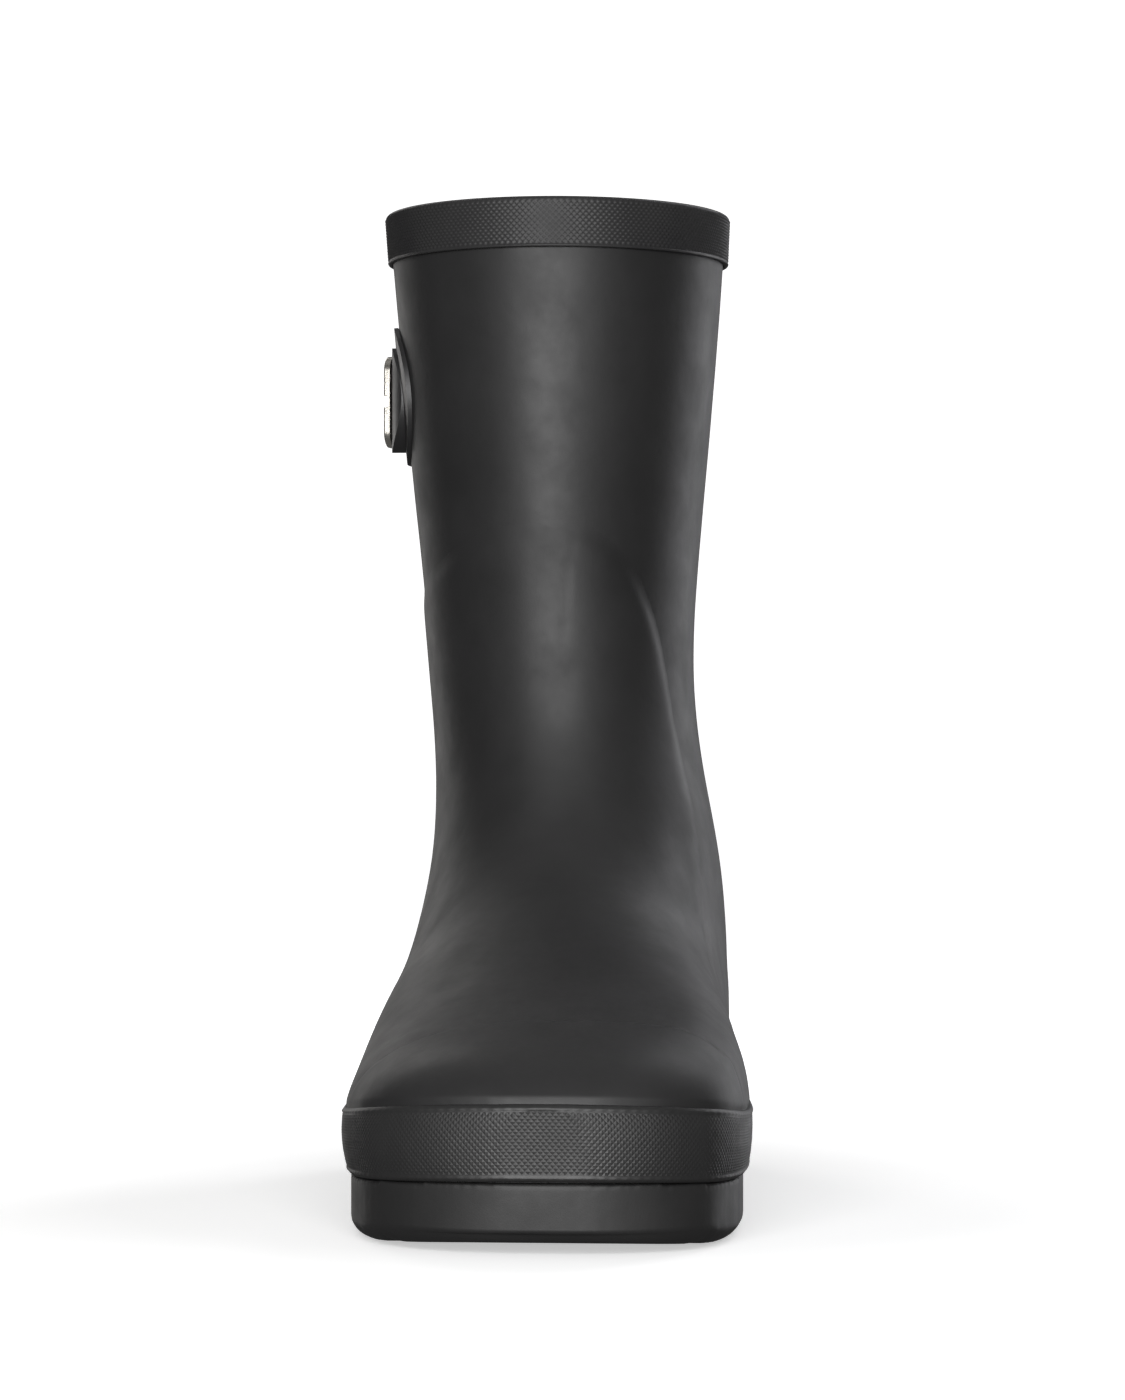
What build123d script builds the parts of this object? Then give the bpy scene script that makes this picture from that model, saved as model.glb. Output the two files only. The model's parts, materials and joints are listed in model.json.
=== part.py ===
"""A right-foot rubber rain boot with a buckled side strap, as its separate layers and fittings."""
from build123d import *
from collections import namedtuple
from math import cos, copysign, dist, hypot, pi, radians, sin
import os

os.makedirs("parts", exist_ok=True)

# Overall layout, in mm. +Z is up, the toe points to -Y and the buckled outer side faces -X.
# The layout is drawn about the leg's own axis, then carried to the middle of the boot's box.
HEIGHT = 293.0
AXIS_X, AXIS_Y = -5.47, 0.85

# Layers of the upper, as distances outward (+) or inward (-) from the rubber's outer face.
RUBBER = 1.8
LINING = 1.4
STIFFENER = 0.8
VAMP_LAYER = 0.7
GUARD_LAYER = 0.9
TOE_CAP_LAYER = 1.0
PATCH_LAYER = 1.3
COLLAR_LAYER, COLLAR_TALL = 1.5, 15.0
FOXING_LAYER = 1.3

# Layers under the foot, as heights above the feather line where the upper meets the outsole.
FILLER_TOP = 3.0
BOARD_TOP = 5.0
FOOTBED_GAP, FOOTBED_THICK, COVER_THICK = 0.35, 5.0, 1.0
FOOTBED_INSET = 3.0
FLEX_LINE, FLEX_GAP = -60.0, 0.3
SHANK_WIDE, SHANK_LONG, SHANK_THICK = 14.0, 104.0, 1.2

# Outsole.
LUG_DEEP, LUG_GAP, LUG_PITCH = 3.5, 4.0, 12.5
SOLE_INSET = 1.2
TREAD_RIM, FRONT_GROOVE = 8.2, -119.0
ARCH_RISE = 11.0
HEEL_BREAST = 74.0

# Strap and buckle. The buckle's middle is BUCKLE_UP above the ground on the widest line of the leg.
BUCKLE_UP = 238.0
BUCKLE_DROP = 1.5
LEG_SIDE, LEG_MIDDLE = -46.95, 73.8
LEG_HALF_WIDE, LEG_HALF_LONG = 47.3, 60.0
LEG_LEAN = 5.9
STRAP_THICK, STRAP_TALL, ROOT_TALL = 1.6, 20.0, 32.0
STRAP_LIFT = 1.0
FRAME_TALL, FRAME_RAIL, FRAME_THICK = 28.0, 3.0, 2.0
FAR_BAR_AT, HEEL_BAR_AT = -3.0, 18.0
BAR_R, LOOP_R, LOOP_THICK = 0.65, 0.72, 0.8
PRONG_WIDE, PRONG_THICK, EYE_THICK = 3.0, 1.2, 0.6
NOTCH_FLOOR = -0.3
CHAPE_TALL, CHAPE_END = 18.0, 34.0
STRAP_TIP = 41.0
KEEPER_AT, KEEPER_LONG, KEEPER_THICK = 28.0, 5.0, 1.2
PATCH_FRONT, PATCH_TALL = -24.5, 42.0

# The strap's under and upper faces: how far round the leg, and how far off the rubber.
STRAP_UNDER = [(-20, -0.6), (-14, -0.6), (-8, -0.5), (-3, 1.6), (3, 2.5), (9, 4.0), (13, 5.3), (16, 5.75),
               (19, 5.75), (23, 4.95), (27, 4.25), (31, 4.15), (35, 3.9), (40, 2.9), (46, 2.5)]
STRAP_OVER = [(-20, 0.9), (-17, 2.3), (-13, 3.3), (-8, 3.85), (-3, 4.0), (3, 4.15), (9, 5.6), (13, 6.9),
              (16, 7.35), (19, 7.35), (23, 6.55), (27, 5.85), (31, 5.75), (35, 5.5), (40, 4.5), (46, 4.1)]

# The form is lofted through sections that fan from level rings on the leg to upright rings at the toe.
# Each one runs from a point on the front or top line to one on the back or bottom line, and holds how
# far it reaches to the outer and inner side, where its ridge lies, how far down it is widest, and how
# square its outer, inner and under sides are (2 is an ellipse).
Ring = namedtuple("Ring", "front back outer inner ridge widest sq_outer sq_inner sq_under")
RINGS = [
    Ring((13.0, 293.0), (137.0, 293.0), -51.8, 51.2, 0.0, 0.50, 2.0, 2.0, 2.0),
    Ring((13.5, 250.0), (134.5, 250.0), -48.2, 48.6, 0.4, 0.50, 2.0, 2.0, 2.0),
    Ring((14.5, 215.0), (131.5, 215.0), -44.6, 45.4, 0.8, 0.50, 2.0, 2.0, 2.0),
    Ring((15.5, 185.0), (129.0, 183.0), -41.2, 42.6, 1.2, 0.50, 2.0, 2.0, 2.0),
    Ring((15.0, 160.0), (127.5, 148.0), -38.6, 41.6, 2.0, 0.50, 2.0, 2.05, 2.0),
    Ring((11.5, 139.0), (129.0, 112.0), -36.4, 44.6, 3.0, 0.50, 2.0, 2.1, 2.05),
    Ring((4.0, 120.0), (134.5, 74.0), -36.8, 49.6, 4.0, 0.51, 2.05, 2.3, 2.1),
    Ring((-7.0, 103.0), (141.0, 38.0), -40.2, 51.6, 5.5, 0.52, 2.3, 2.5, 2.2),
    Ring((-21.0, 90.0), (128.0, 2.0), -44.5, 53.0, 7.0, 0.52, 2.5, 2.6, 2.3),
    Ring((-38.0, 79.0), (70.0, -14.0), -48.0, 56.0, 8.5, 0.50, 2.6, 2.8, 2.3),
    Ring((-57.0, 70.0), (10.0, -14.0), -49.2, 59.5, 10.0, 0.49, 2.5, 2.9, 2.3),
    Ring((-76.0, 64.0), (-40.0, -12.0), -48.8, 62.0, 11.0, 0.48, 2.3, 3.0, 2.3),
    Ring((-95.0, 60.0), (-80.0, -8.0), -46.5, 62.0, 11.5, 0.48, 2.3, 3.0, 2.3),
    Ring((-112.0, 56.5), (-106.0, -4.0), -41.5, 59.4, 11.5, 0.48, 2.3, 2.8, 2.3),
    Ring((-126.0, 52.0), (-124.0, 2.0), -33.0, 53.2, 11.2, 0.48, 2.4, 2.6, 2.3),
    Ring((-136.0, 46.0), (-136.0, 8.0), -20.0, 41.2, 11.2, 0.48, 2.5, 2.5, 2.3),
    Ring((-142.5, 38.0), (-142.5, 18.0), 1.5, 19.5, 11.2, 0.50, 2.5, 2.5, 2.3),
]
RING_POINTS = 16
TOE_START, TOE_LONG = -95.0, 47.5

# Side outlines, as (y, z) points from heel to toe.
FEATHER = [(152, 30), (80, 27.5), (30, 20.5), (-40, 16.2), (-90, 16.4), (-152, 20.8)]
FOXING_TOP = [(152, 51), (80, 46), (20, 37), (-40, 33.8), (-90, 34.5), (-125, 38), (-152, 41.5)]
VAMP_INNER = [(-20, 193.5), (15, 193.5), (26, 179), (34, 160), (34, 128), (20, 92), (4, 70), (-16, 30)]
VAMP_OUTER = [(-20, 193.5), (15, 193.5), (40, 182), (75, 170), (92, 146), (84, 112), (58, 76), (36, 30)]
GUARD_FRONT = [(170, 104), (126, 103), (104, 92), (88, 70), (80, 30)]

SIDE = Plane(origin=(AXIS_X, AXIS_Y, 0), x_dir=(0, 1, 0), z_dir=(1, 0, 0))
TOP = Plane(origin=(AXIS_X, AXIS_Y, 0))
REACH = 120.0


def ring_points(ring, grow):
    """Points round one section, starting at its back or bottom end, `grow` outside the outer face."""
    toe = max(0.0, (TOE_START - ring.front[0]) / TOE_LONG) ** 3
    front_y, back_y = ring.front[0] - grow * toe, ring.back[0] - grow * toe
    front_z, back_z = ring.front[1], ring.back[1]
    long = dist((front_y, front_z), (back_y, back_z))
    run_y, run_z = (back_y - front_y) / long, (back_z - front_z) / long
    half_wide = (ring.inner - ring.outer) / 2 + grow
    middle = (ring.inner + ring.outer) / 2
    points = []
    for i in range(RING_POINTS):
        angle = pi + 2 * pi * i / RING_POINTS
        c, s = cos(angle), sin(angle)
        square = ring.sq_under
        if c >= 0:
            square = ring.sq_inner if s >= 0 else ring.sq_outer
        c_bent = abs(c) ** (2 / square)
        s_bent = copysign(abs(s) ** (2 / square), s)
        share = ring.widest * (1 - c_bent) if c >= 0 else ring.widest + (1 - ring.widest) * c_bent
        down = share * (long + 2 * grow) - grow
        across = middle + half_wide * s_bent + (ring.ridge - middle) * max(c, 0) ** 2
        points.append((AXIS_X + across, AXIS_Y + front_y + run_y * down, front_z + run_z * down))
    return points


def boot_form(grow):
    """The solid foot-and-leg form, `grow` outside the rubber's outer face."""
    rings = [ring_points(ring, grow) for ring in RINGS]
    steps = [i / RING_POINTS for i in range(RING_POINTS + 1)]
    hoops = [Edge.make_spline(ring, periodic=True, parameters=steps) for ring in rings]
    lines = [Edge.make_spline([ring[i] for ring in rings]) for i in range(RING_POINTS)]
    skin = Face.make_gordon_surface(hoops, lines + lines[:1], tolerance=1e-3)
    ends = [Face(Wire([edge])) for edge in skin.edges() if edge.is_closed]
    with BuildPart() as form:
        add(Solid(Shell([skin] + ends)))
    return form.part


def under(outline, rise=0.0):
    """Everything below a side outline raised by `rise`, right across the boot."""
    with BuildPart() as slab:
        with BuildSketch(SIDE):
            with BuildLine():
                edge = Spline(*[(y, z + rise) for y, z in outline])
                Polyline(edge @ 1, (outline[-1][0], -30), (outline[0][0], -30), edge @ 0)
            make_face()
        extrude(amount=REACH, both=True)
    return slab.part


def ahead_of(outline):
    """Everything toeward of a side outline, right across the boot."""
    with BuildPart() as slab:
        with BuildSketch(SIDE):
            with BuildLine():
                edge = Spline(*outline)
                Polyline(edge @ 1, (-REACH - 60, outline[-1][1]), (-REACH - 60, outline[0][1]), edge @ 0)
            make_face()
        extrude(amount=REACH, both=True)
    return slab.part


def half(side):
    """All the space on the inner (1) or outer (-1) side of the boot's ridge."""
    with BuildPart() as block:
        with BuildSketch(TOP):
            with Locations((side * REACH, 0)):
                Rectangle(2 * REACH, 4 * REACH)
        extrude(amount=2 * REACH, both=True)
    return block.part


outer_form = boot_form(0)
lining_form = boot_form(-RUBBER)
foot_form = boot_form(-RUBBER - LINING)
stiffener_form = boot_form(-RUBBER - STIFFENER)
guard_form = boot_form(GUARD_LAYER)
foxing_form = boot_form(FOXING_LAYER)

below_feather = under(FEATHER)
below_foxing_top = under(FOXING_TOP)

# The toe cap's rear edge, bowing toward the toe on the ridge.
with BuildPart() as toe_zone:
    with BuildSketch(TOP):
        with BuildLine():
            edge = Spline((-80, -84), (-38, -97), (9, -104), (52, -99), (90, -86))
            Polyline(edge @ 1, (90, -170), (-80, -170), edge @ 0)
        make_face()
    extrude(amount=REACH)

# Upper: one thin rubber boot, open at the leg and at the sole.
with BuildPart() as upper_shell:
    add(outer_form)
    add(lining_form, mode=Mode.SUBTRACT)
    add(below_feather, mode=Mode.SUBTRACT)

# Stiffeners round the heel and the toe, between the rubber and the lining.
with BuildPart() as heel_counter:
    with BuildSketch(SIDE):
        with BuildLine():
            edge = Spline((160, 86), (120, 84), (96, 66), (84, 25))
            Polyline(edge @ 1, (160, 25), edge @ 0)
        make_face()
    extrude(amount=REACH, both=True)
    add(lining_form, mode=Mode.INTERSECT)
    add(stiffener_form, mode=Mode.SUBTRACT)
    add(under(FEATHER, BOARD_TOP), mode=Mode.SUBTRACT)

with BuildPart() as toe_puff:
    with BuildSketch(SIDE):
        with BuildLine():
            edge = Spline((-86, 10), (-92, 34), (-102, 80))
            Polyline(edge @ 1, (-160, 80), (-160, 10), edge @ 0)
        make_face()
    extrude(amount=REACH, both=True)
    add(lining_form, mode=Mode.INTERSECT)
    add(stiffener_form, mode=Mode.SUBTRACT)
    add(under(FEATHER, BOARD_TOP), mode=Mode.SUBTRACT)

with BuildPart() as leg_lining:
    add(lining_form)
    add(foot_form, mode=Mode.SUBTRACT)
    add(under(FEATHER, BOARD_TOP), mode=Mode.SUBTRACT)
    add(heel_counter.part, mode=Mode.SUBTRACT)
    add(toe_puff.part, mode=Mode.SUBTRACT)

# Collar round the leg's mouth.
with BuildPart() as collar_band:
    with BuildSketch(TOP.offset(HEIGHT - COLLAR_TALL)):
        Rectangle(4 * REACH, 4 * REACH)
    extrude(amount=COLLAR_TALL)
    add(boot_form(COLLAR_LAYER), mode=Mode.INTERSECT)
    add(outer_form, mode=Mode.SUBTRACT)

# Foxing tape round the joint of the upper and the outsole.
with BuildPart() as foxing_band:
    add(foxing_form)
    add(outer_form, mode=Mode.SUBTRACT)
    add(below_foxing_top, mode=Mode.INTERSECT)
    add(below_feather, mode=Mode.SUBTRACT)

# Vamp layer over the instep; its edge falls further back on the outer side.
with BuildPart() as vamp_inner:
    add(ahead_of(VAMP_INNER))
    add(half(1), mode=Mode.INTERSECT)

with BuildPart() as vamp_overlay:
    add(ahead_of(VAMP_OUTER))
    add(half(-1), mode=Mode.INTERSECT)
    add(vamp_inner.part)
    add(boot_form(VAMP_LAYER), mode=Mode.INTERSECT)
    add(outer_form, mode=Mode.SUBTRACT)
    add(below_foxing_top, mode=Mode.SUBTRACT)
    add(toe_zone.part, mode=Mode.SUBTRACT)

with BuildPart() as toe_cap:
    add(toe_zone.part)
    add(boot_form(TOE_CAP_LAYER), mode=Mode.INTERSECT)
    add(outer_form, mode=Mode.SUBTRACT)
    add(below_foxing_top, mode=Mode.SUBTRACT)

# Heel guard and the strip up the back seam.
with BuildPart() as heel_guard:
    with BuildSketch(SIDE):
        with BuildLine():
            edge = Spline(*GUARD_FRONT)
            Polyline(edge @ 1, (170, 30), edge @ 0)
        make_face()
    extrude(amount=REACH, both=True)
    add(guard_form, mode=Mode.INTERSECT)
    add(outer_form, mode=Mode.SUBTRACT)
    add(below_foxing_top, mode=Mode.SUBTRACT)

with BuildPart() as back_strip:
    with BuildSketch(TOP.offset(60)):
        with Locations((1.5, 140)):
            Rectangle(20, 60)
    extrude(amount=HEIGHT - COLLAR_TALL - 60)
    add(guard_form, mode=Mode.INTERSECT)
    add(outer_form, mode=Mode.SUBTRACT)
    add(heel_guard.part, mode=Mode.SUBTRACT)
    add(ahead_of([(100, 300), (100, 0)]), mode=Mode.SUBTRACT)

# Bottom stack inside the upper: filler with its shank, insole board, then the loose footbed.
with BuildPart() as shank:
    with BuildSketch(TOP):
        with Locations((2, 22)):
            SlotOverall(SHANK_LONG, SHANK_WIDE, rotation=90)
    extrude(amount=60)
    add(under(FEATHER, 1 + SHANK_THICK), mode=Mode.INTERSECT)
    add(under(FEATHER, 1), mode=Mode.SUBTRACT)

with BuildPart() as sole_filler:
    add(lining_form)
    add(under(FEATHER, FILLER_TOP), mode=Mode.INTERSECT)
    add(below_feather, mode=Mode.SUBTRACT)
    add(shank.part, mode=Mode.SUBTRACT)

with BuildPart() as insole_board:
    add(lining_form)
    add(under(FEATHER, BOARD_TOP), mode=Mode.INTERSECT)
    add(under(FEATHER, FILLER_TOP), mode=Mode.SUBTRACT)

# The loose footbed and its cloth cover peel up from the ball of the foot, so each is cut at that line.
footbed_form = boot_form(-RUBBER - LINING - FOOTBED_INSET)
footbed_low = BOARD_TOP + FOOTBED_GAP
footbed_high = footbed_low + FOOTBED_THICK
toeward = Plane(origin=(0, AXIS_Y + FLEX_LINE, 0), z_dir=(0, -1, 0))
heelward = Plane(origin=(0, AXIS_Y + FLEX_LINE + FLEX_GAP, 0), z_dir=(0, 1, 0))

with BuildPart() as footbed_front:
    add(footbed_form)
    add(under(FEATHER, footbed_high), mode=Mode.INTERSECT)
    add(under(FEATHER, footbed_low), mode=Mode.SUBTRACT)
    split(bisect_by=toeward)

with BuildPart() as footbed_rear:
    add(footbed_form)
    add(under(FEATHER, footbed_high), mode=Mode.INTERSECT)
    add(under(FEATHER, footbed_low), mode=Mode.SUBTRACT)
    split(bisect_by=heelward)

with BuildPart() as cover_front:
    add(footbed_form)
    add(under(FEATHER, footbed_high + COVER_THICK), mode=Mode.INTERSECT)
    add(under(FEATHER, footbed_high), mode=Mode.SUBTRACT)
    split(bisect_by=toeward)

with BuildPart() as cover_rear:
    add(footbed_form)
    add(under(FEATHER, footbed_high + COVER_THICK), mode=Mode.INTERSECT)
    add(under(FEATHER, footbed_high), mode=Mode.SUBTRACT)
    split(bisect_by=heelward)

# Grooves under the front of the sole, which stop at a plain rim.
tread_plan = section(boot_form(-TREAD_RIM), section_by=Plane.XY.offset(24), mode=Mode.PRIVATE)
with BuildPart() as sole_grooves:
    add(tread_plan)
    extrude(amount=25, both=True)
    with BuildSketch(TOP):
        with Locations((0, FRONT_GROOVE + 5.5 * LUG_PITCH)):
            with GridLocations(1, LUG_PITCH, 1, 10):
                Rectangle(2 * REACH, LUG_GAP)
    extrude(amount=LUG_DEEP, both=True, mode=Mode.INTERSECT)

# Outsole: heel block, hollow waist, sprung toe and cross lugs.
plan = section(boot_form(-SOLE_INSET), section_by=Plane.XY.offset(24), mode=Mode.PRIVATE)
with BuildPart() as outsole:
    add(plan)
    extrude(amount=24, both=True)
    add(below_feather, mode=Mode.INTERSECT)
    with BuildSketch(SIDE):
        with BuildLine():
            Polyline((-160, 8), (-160, -1), (-86, -1), (-86, 0))
            Spline((-86, 0), (-118, 1.5), (-160, 8), tangents=[(-1, 0), (-1, 0.25)])
        make_face()
    extrude(amount=REACH, both=True, mode=Mode.SUBTRACT)
    with BuildSketch(SIDE):
        with BuildLine():
            Spline((HEEL_BREAST, -1), (HEEL_BREAST - 4, ARCH_RISE - 1), (46, ARCH_RISE), (12, -1))
            Line((12, -1), (HEEL_BREAST, -1))
        make_face()
    extrude(amount=REACH, both=True, mode=Mode.SUBTRACT)
    with BuildSketch(TOP):
        with Locations((0, 112)):
            with GridLocations(1, LUG_PITCH, 1, 5):
                Rectangle(2 * REACH, LUG_GAP)
        with Locations((0, FRONT_GROOVE)):
            Rectangle(2 * REACH, LUG_GAP / 2)
    extrude(amount=LUG_DEEP, both=True, mode=Mode.SUBTRACT)
    add(sole_grooves.part, mode=Mode.SUBTRACT)

# Strap and buckle. The patches follow the leaning leg, and the buckle hangs upright in front of them.
# `leg_plane` is level, with x running back round the leg, y straight off the rubber and z up.
LEAN = radians(LEG_LEAN)
side_point = (AXIS_X + LEG_SIDE, AXIS_Y + LEG_MIDDLE, BUCKLE_UP)
buckle_point = (AXIS_X + LEG_SIDE, AXIS_Y + LEG_MIDDLE, BUCKLE_UP - BUCKLE_DROP)
patch_plane = Plane(origin=side_point, x_dir=(0, 1, 0), z_dir=(cos(LEAN), 0, sin(LEAN)))
leg_plane = Plane(origin=buckle_point, x_dir=(0, 1, 0), z_dir=(0, 0, 1))
strap_plane = Plane(origin=buckle_point, x_dir=(0, 1, 0), z_dir=(1, 0, 0))
patch_form = boot_form(PATCH_LAYER)


def wrap(round_leg, off):
    """The point `round_leg` back from the widest line and `off` the rubber, on the leg plane."""
    angle = round_leg / LEG_HALF_LONG
    x, y = LEG_HALF_LONG * sin(angle), LEG_HALF_WIDE * (cos(angle) - 1)
    out_x, out_y = LEG_HALF_WIDE * sin(angle), LEG_HALF_LONG * cos(angle)
    size = hypot(out_x, out_y)
    return (x + off * out_x / size, y + off * out_y / size)


# Buckle chape: a folded tab whose loop holds the heel bar, slotted for the prong.
bar_off = PATCH_LAYER + STRAP_LIFT + LOOP_THICK + LOOP_R
bar_at = wrap(HEEL_BAR_AT, bar_off)
with BuildPart() as buckle_chape:
    with BuildSketch(leg_plane):
        with BuildLine():
            low = Spline(*[wrap(r, 0) for r in (HEEL_BAR_AT, 23, 28, CHAPE_END)])
            high = Spline(*[wrap(r, bar_off - LOOP_R + LOOP_THICK) for r in (HEEL_BAR_AT, 23, 28, CHAPE_END)])
            Line(low @ 0, high @ 0)
            Line(low @ 1, high @ 1)
        make_face()
        with Locations(bar_at):
            Circle(LOOP_R + LOOP_THICK)
            Circle(LOOP_R, mode=Mode.SUBTRACT)
    extrude(amount=CHAPE_TALL / 2, both=True)
    with BuildSketch(leg_plane):
        with Locations(bar_at):
            Rectangle(9, 12)
    extrude(amount=(PRONG_WIDE + 1.2) / 2, both=True, mode=Mode.SUBTRACT)
    add(patch_form, mode=Mode.SUBTRACT)

# Frame plane: x runs back from the far bar to the heel bar, y up the leg, z off the rubber.
far_at = wrap(FAR_BAR_AT, STRAP_OVER[4][1] + 0.35 + FRAME_THICK / 2)
frame_long = dist(far_at, bar_at)
far_point = leg_plane.from_local_coords((far_at[0], far_at[1], 0))
heel_point = leg_plane.from_local_coords((bar_at[0], bar_at[1], 0))
frame_plane = Plane(origin=(far_point + heel_point) / 2, x_dir=heel_point - far_point,
                    z_dir=leg_plane.z_dir.cross(heel_point - far_point))
bar_plane = Plane(origin=heel_point, x_dir=frame_plane.x_dir, z_dir=leg_plane.z_dir)

with BuildPart() as buckle_bar:
    with BuildSketch(bar_plane):
        Circle(BAR_R)
    extrude(amount=(FRAME_TALL - 2) / 2, both=True)

with BuildPart() as buckle_frame:
    with BuildSketch(frame_plane):
        RectangleRounded(frame_long + FRAME_RAIL, FRAME_TALL, 5)
        with Locations((FRAME_RAIL, 0)):
            RectangleRounded(frame_long + FRAME_RAIL, FRAME_TALL - 2 * FRAME_RAIL, 2, mode=Mode.SUBTRACT)
    extrude(amount=FRAME_THICK / 2, both=True)
    fillet(buckle_frame.edges().group_by(Axis(frame_plane.origin, frame_plane.z_dir))[-1], 0.5)
    add(buckle_bar.part, mode=Mode.SUBTRACT)
    with BuildSketch(frame_plane.offset(NOTCH_FLOOR)):
        with Locations((-frame_long / 2, 0)):
            Rectangle(2 * FRAME_RAIL, PRONG_WIDE + 0.6)
    extrude(amount=FRAME_THICK, mode=Mode.SUBTRACT)

# Prong: an eye on the heel bar and a tongue whose tip rests in the far bar's notch.
half_long = frame_long / 2
tip_rise = NOTCH_FLOOR + 0.05 + PRONG_THICK / 2
with BuildPart() as buckle_prong:
    with BuildSketch(Plane(origin=frame_plane.origin, x_dir=frame_plane.x_dir, z_dir=leg_plane.z_dir)):
        with BuildLine():
            spine = Spline((half_long - 0.9, 0.3), (0, 0.7), (-half_long - 1.2, tip_rise))
        trace(spine, line_width=PRONG_THICK)
        with Locations((half_long, 0)):
            Circle(LOOP_R + EYE_THICK)
            Circle(LOOP_R, mode=Mode.SUBTRACT)
    extrude(amount=PRONG_WIDE / 2, both=True)

# Strap: a thick root on the front patch, under the far bar, over the heel bar, through the keeper.
with BuildPart() as strap:
    with BuildSketch(leg_plane):
        with BuildLine():
            inside = Spline(*[wrap(r, off) for r, off in STRAP_UNDER])
            outside = Spline(*[wrap(r, off) for r, off in STRAP_OVER])
            Line(inside @ 0, outside @ 0)
            Line(inside @ 1, outside @ 1)
        make_face()
    extrude(amount=ROOT_TALL / 2, both=True)
    with BuildSketch(strap_plane):
        with BuildLine():
            root = ThreePointArc((-8, ROOT_TALL / 2), (-18.5, 0), (-8, -ROOT_TALL / 2))
            tip = ThreePointArc((STRAP_TIP - 8, -STRAP_TALL / 2), (STRAP_TIP, 0), (STRAP_TIP - 8, STRAP_TALL / 2))
            Spline(root @ 1, (-3, -STRAP_TALL / 2 - 1.5), (4, -STRAP_TALL / 2))
            Line((4, -STRAP_TALL / 2), tip @ 0)
            Line(tip @ 1, (4, STRAP_TALL / 2))
            Spline((4, STRAP_TALL / 2), (-3, STRAP_TALL / 2 + 1.5), root @ 0)
        make_face()
    extrude(amount=60, both=True, mode=Mode.INTERSECT)
    with BuildSketch(frame_plane):
        with Locations((3.4, 0)):
            SlotOverall(16.4, PRONG_WIDE + 0.8)
    extrude(amount=12, both=True, mode=Mode.SUBTRACT)
    with BuildSketch(strap_plane):
        with Locations((STRAP_TIP - 7, 0)):
            SlotOverall(6, PRONG_WIDE + 0.8)
    extrude(amount=60, both=True, mode=Mode.SUBTRACT)
    add(patch_form, mode=Mode.SUBTRACT)

# Keeper: a rubber loop over the strap, standing on the rear patch.
keeper_plane = Plane(
    origin=leg_plane.from_local_coords((*wrap(KEEPER_AT, 0), 0)),
    x_dir=leg_plane.z_dir,
    z_dir=Vector(leg_plane.from_local_coords((*wrap(KEEPER_AT - 1, 0), 0)))
    - Vector(leg_plane.from_local_coords((*wrap(KEEPER_AT + 1, 0), 0))),
)
keeper_low, keeper_high = 0.0, STRAP_OVER[11][1] + 0.25
with BuildPart() as strap_keeper:
    with BuildSketch(keeper_plane):
        with Locations((0, (keeper_low + keeper_high + KEEPER_THICK) / 2)):
            Rectangle(STRAP_TALL + 2 * KEEPER_THICK + 0.6, keeper_high + KEEPER_THICK - keeper_low)
        with Locations((0, keeper_high / 2)):
            Rectangle(STRAP_TALL + 0.6, keeper_high, mode=Mode.SUBTRACT)
    extrude(amount=KEEPER_LONG / 2, both=True)
    along = strap_keeper.edges().filter_by(Axis(keeper_plane.origin, keeper_plane.z_dir))
    fillet(along.group_by(Axis(keeper_plane.origin, keeper_plane.y_dir))[-1], 0.8)
    add(patch_form, mode=Mode.SUBTRACT)

# Patches vulcanised to the leg: the strap's root lies on one, the chape and the keeper on the other.
with BuildPart() as strap_patch:
    with BuildSketch(patch_plane):
        with BuildLine():
            front = ThreePointArc((-6, PATCH_TALL / 2), (PATCH_FRONT, 0), (-6, -PATCH_TALL / 2))
            Polyline(front @ 1, (7, -PATCH_TALL / 2), (7, PATCH_TALL / 2), front @ 0)
        make_face()
    extrude(amount=40, both=True)
    add(patch_form, mode=Mode.INTERSECT)
    add(outer_form, mode=Mode.SUBTRACT)

with BuildPart() as buckle_patch:
    with BuildSketch(patch_plane):
        with Locations((32, 0)):
            RectangleRounded(25, 38, 6)
    extrude(amount=40, both=True)
    add(patch_form, mode=Mode.INTERSECT)
    add(outer_form, mode=Mode.SUBTRACT)

upper_shell.part.label = "upper_shell"
export_step(upper_shell.part, "parts/upper_shell.step")
leg_lining.part.label = "leg_lining"
export_step(leg_lining.part, "parts/leg_lining.step")
heel_counter.part.label = "heel_counter"
export_step(heel_counter.part, "parts/heel_counter.step")
toe_puff.part.label = "toe_puff"
export_step(toe_puff.part, "parts/toe_puff.step")
collar_band.part.label = "collar_band"
export_step(collar_band.part, "parts/collar_band.step")
foxing_band.part.label = "foxing_band"
export_step(foxing_band.part, "parts/foxing_band.step")
vamp_overlay.part.label = "vamp_overlay"
export_step(vamp_overlay.part, "parts/vamp_overlay.step")
toe_cap.part.label = "toe_cap"
export_step(toe_cap.part, "parts/toe_cap.step")
heel_guard.part.label = "heel_guard"
export_step(heel_guard.part, "parts/heel_guard.step")
back_strip.part.label = "back_strip"
export_step(back_strip.part, "parts/back_strip.step")
outsole.part.label = "outsole"
export_step(outsole.part, "parts/outsole.step")
shank.part.label = "shank"
export_step(shank.part, "parts/shank.step")
sole_filler.part.label = "sole_filler"
export_step(sole_filler.part, "parts/sole_filler.step")
insole_board.part.label = "insole_board"
export_step(insole_board.part, "parts/insole_board.step")
footbed_front.part.label = "footbed_front"
export_step(footbed_front.part, "parts/footbed_front.step")
footbed_rear.part.label = "footbed_rear"
export_step(footbed_rear.part, "parts/footbed_rear.step")
cover_front.part.label = "cover_front"
export_step(cover_front.part, "parts/cover_front.step")
cover_rear.part.label = "cover_rear"
export_step(cover_rear.part, "parts/cover_rear.step")
strap_patch.part.label = "strap_patch"
export_step(strap_patch.part, "parts/strap_patch.step")
buckle_patch.part.label = "buckle_patch"
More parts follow.
